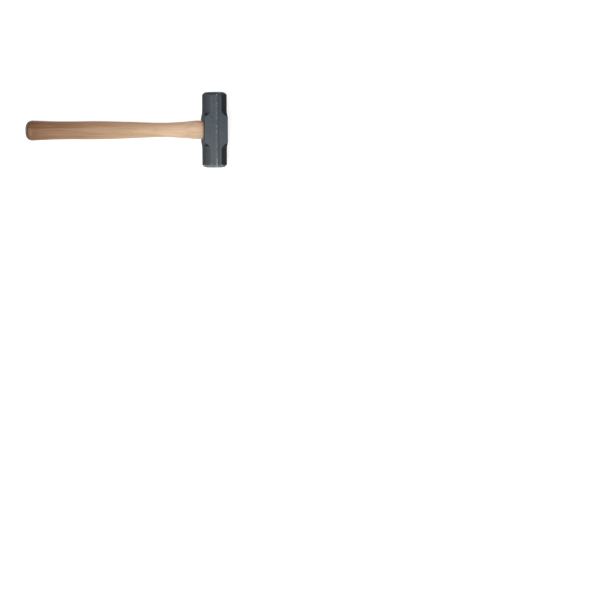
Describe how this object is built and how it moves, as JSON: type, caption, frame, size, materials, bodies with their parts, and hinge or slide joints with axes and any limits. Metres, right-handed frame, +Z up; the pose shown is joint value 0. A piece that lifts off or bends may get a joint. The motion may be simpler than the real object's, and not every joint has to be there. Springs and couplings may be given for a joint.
{
  "type": "sledge hammer",
  "caption": "Short-handled sledge hammer: octagonal forged head with crowned striking faces, wedged onto an oval wooden handle, for driving stakes and breaking masonry.",
  "frame": {"origin": "under the middle of the hammer's box, on the surface that it lies on", "axes": "+X from the butt of the handle to the head, +Y along the head, +Z up through the cheek that faces up"},
  "size_m": [0.4016, 0.15, 0.0485],
  "materials": {
    "head_steel": "dark blue-grey matt coated forging, worn to bare steel in the middle of the striking faces",
    "handle_wood": "clear-lacquered hickory with a brown heartwood streak",
    "wedge_wood": "bare split hardwood, end grain showing",
    "wedge_steel": "mill-finish mild steel with hammer marks"
  },
  "bodies": {
    "root": {"head": "head_steel", "handle": "handle_wood", "wood_wedge": "wedge_wood", "steel_wedge_upper": "wedge_steel", "steel_wedge_lower": "wedge_steel"}
  },
  "joints": []
}
